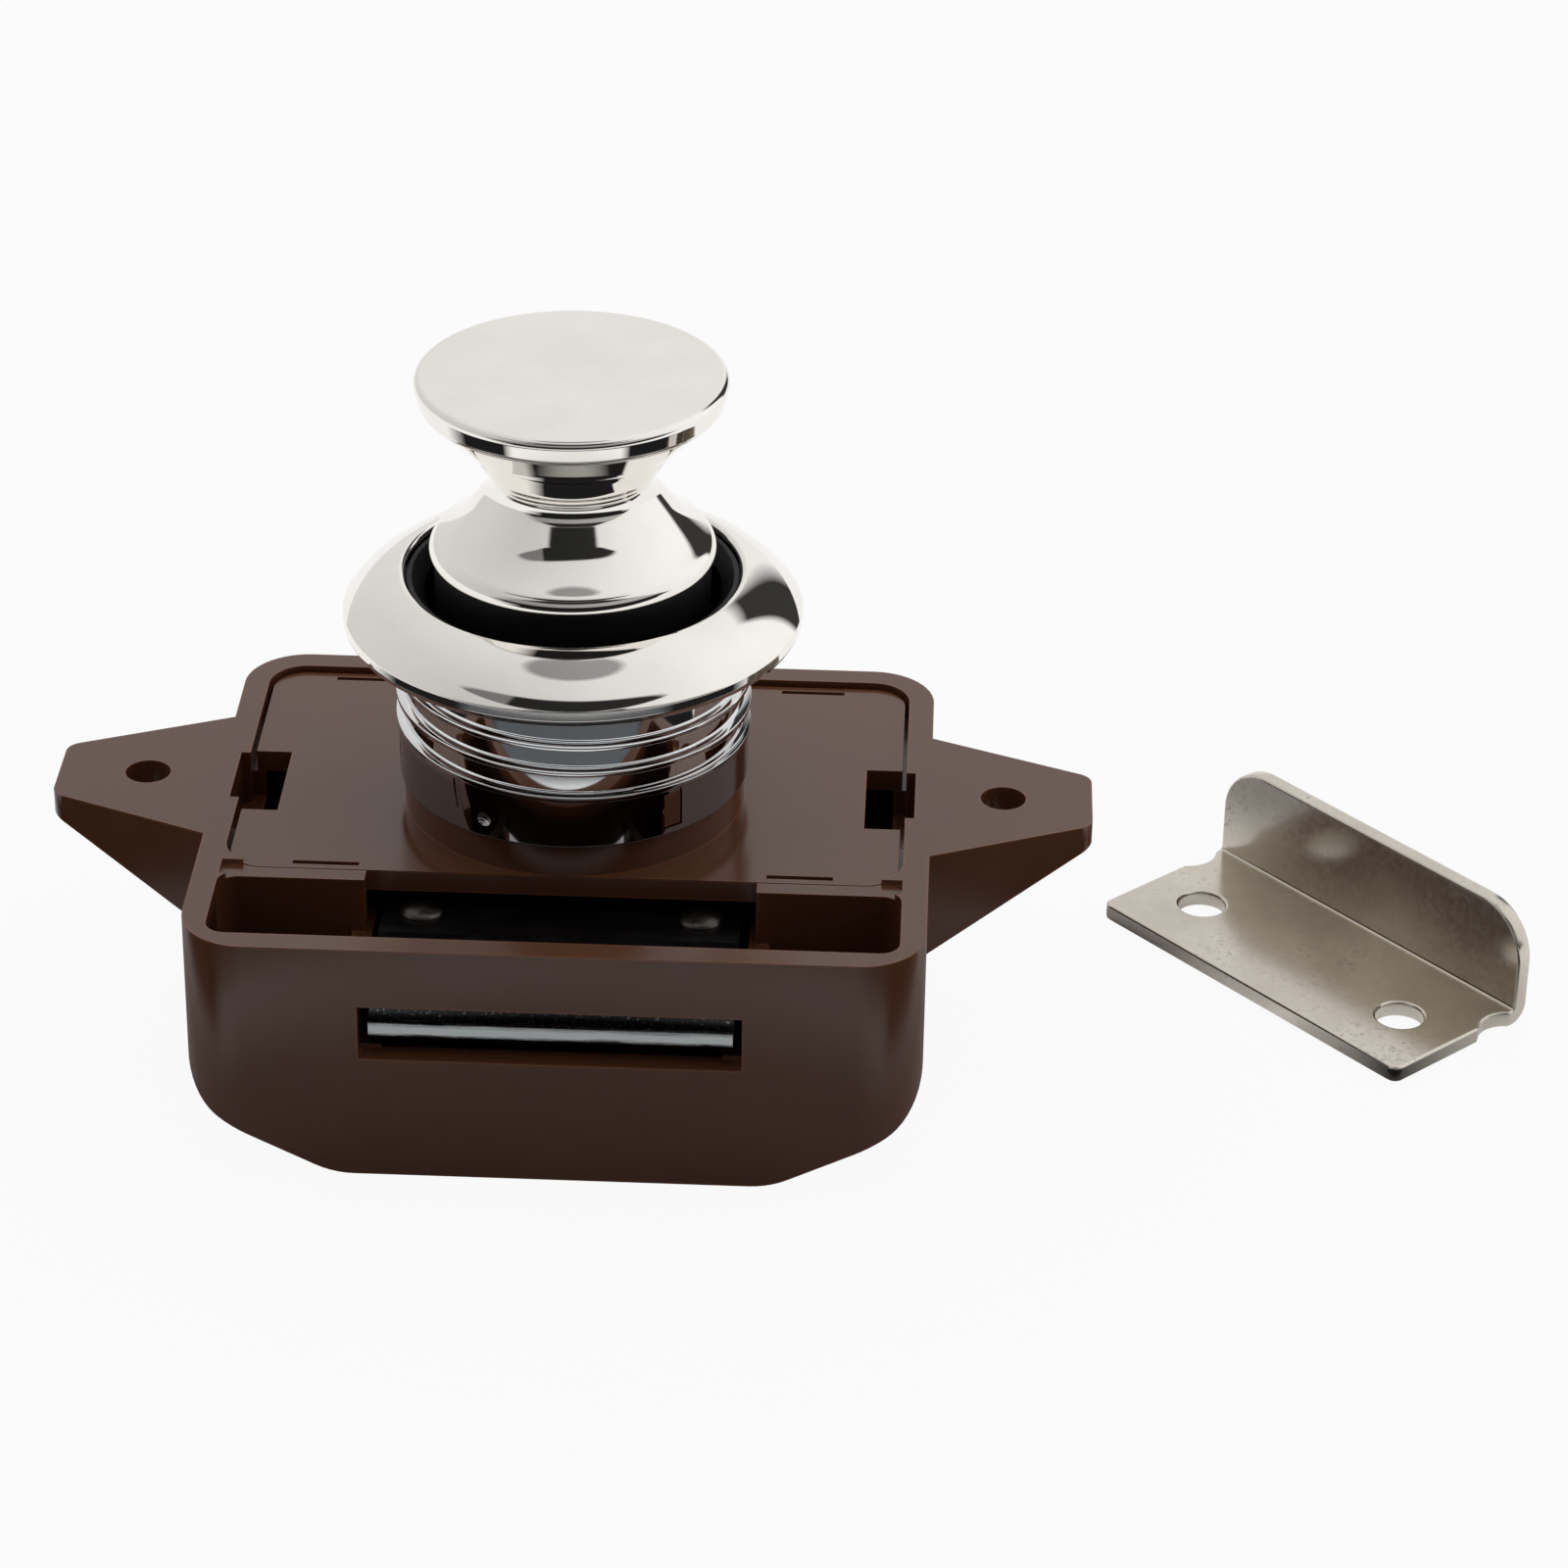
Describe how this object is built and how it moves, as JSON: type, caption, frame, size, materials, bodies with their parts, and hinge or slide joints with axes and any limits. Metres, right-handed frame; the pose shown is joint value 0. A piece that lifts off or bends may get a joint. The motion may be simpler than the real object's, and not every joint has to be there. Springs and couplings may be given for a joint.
{
  "type": "push button cabinet lock",
  "caption": "Brown cabinet lock case with ears, chrome pop-out knob on a threaded sleeve, screwed rosette, spring bolt in a front slot and a loose L-shaped strike plate.",
  "frame": {"origin": "on the knob axis at the door face, midway between the two ear screw holes", "axes": "+Z out of the door along the knob, +X to the right along the ears, the bolt leaves the case towards -Y"},
  "size_m": [0.1056, 0.0469, 0.0501],
  "materials": {
    "brown_plastic": "glossy moulded brown plastic",
    "cover_plastic": "glossy moulded brown plastic",
    "sleeve_chrome": "bright chrome plate",
    "rosette_chrome": "bright chrome plate",
    "knob_chrome": "bright chrome plate",
    "black_plastic": "black moulded plastic",
    "plunger_plastic": "black moulded plastic",
    "steel": "plain steel",
    "spring_steel": "drawn spring wire",
    "zinc_steel": "zinc-plated steel with fine scratches",
    "carrier_steel": "dark zinc-plated steel",
    "rivet_steel": "plain steel",
    "nickel_steel": "warm nickel plate on pressed steel sheet"
  },
  "bodies": {
    "case": {"case": "brown_plastic", "cover_plate": "cover_plastic", "threaded_sleeve": "sleeve_chrome", "return_spring": "spring_steel", "catch_leaf": "spring_steel"},
    "knob": {"knob": "knob_chrome", "plunger": "plunger_plastic", "knob_screw": "steel"},
    "carrier": {"bolt_carrier": "carrier_steel", "drive_pin_left": "steel", "drive_pin_right": "steel", "bolt_rivet_left": "rivet_steel", "bolt_rivet_right": "rivet_steel", "bolt_spring_left": "spring_steel", "bolt_spring_right": "spring_steel"},
    "bolt": {"bolt": "zinc_steel"},
    "catch": {"catch_wire": "spring_steel"},
    "liner": {"liner_ring": "black_plastic"},
    "rosette": {"rosette_flange": "rosette_chrome"},
    "strike": {"strike_plate": "nickel_steel"}
  },
  "joints": [
    {"name": "knob_press", "type": "slide", "parent": "case", "child": "knob", "axis": [0, 0, -1], "range_m": [0, 0.0115], "stiffness_N_per_m": 350, "springref_m": -0.006, "deforming": ["return_spring"]},
    {"name": "carrier_slide", "type": "slide", "parent": "case", "child": "carrier", "axis": [0, -1, 0], "range_m": [0, 0.00576]},
    {"name": "bolt_slam", "type": "slide", "parent": "carrier", "child": "bolt", "axis": [0, 1, 0], "range_m": [0, 0.0052], "stiffness_N_per_m": 250, "springref_m": -0.004, "deforming": ["bolt_spring_left", "bolt_spring_right"]},
    {"name": "catch_swing", "type": "hinge", "parent": "case", "child": "catch", "pos_m": [0, 0.012, -0.0135], "axis": [0, 1, 0], "range_deg": [0, 9]},
    {"name": "rosette_lift", "type": "slide", "parent": "case", "child": "liner", "axis": [0, 0, 1], "range_m": [0, 0.00201]},
    {"name": "rosette_turn", "type": "hinge", "parent": "liner", "child": "rosette", "pos_m": [0, 0, 0.0155], "axis": [0, 0, 1], "range_deg": [0, 360]},
    {"name": "strike_lift", "type": "slide", "parent": "case", "child": "strike", "axis": [0, 0, 1], "range_m": [0, 0.03]}
  ],
  "couplings": [
    {"joint": "carrier_slide", "follows": "knob_press", "ratio": 0.5},
    {"joint": "catch_swing", "follows": "knob_press", "rad_per_m": 13.57},
    {"joint": "rosette_lift", "follows": "rosette_turn", "m_per_rad": 0.00031831}
  ]
}
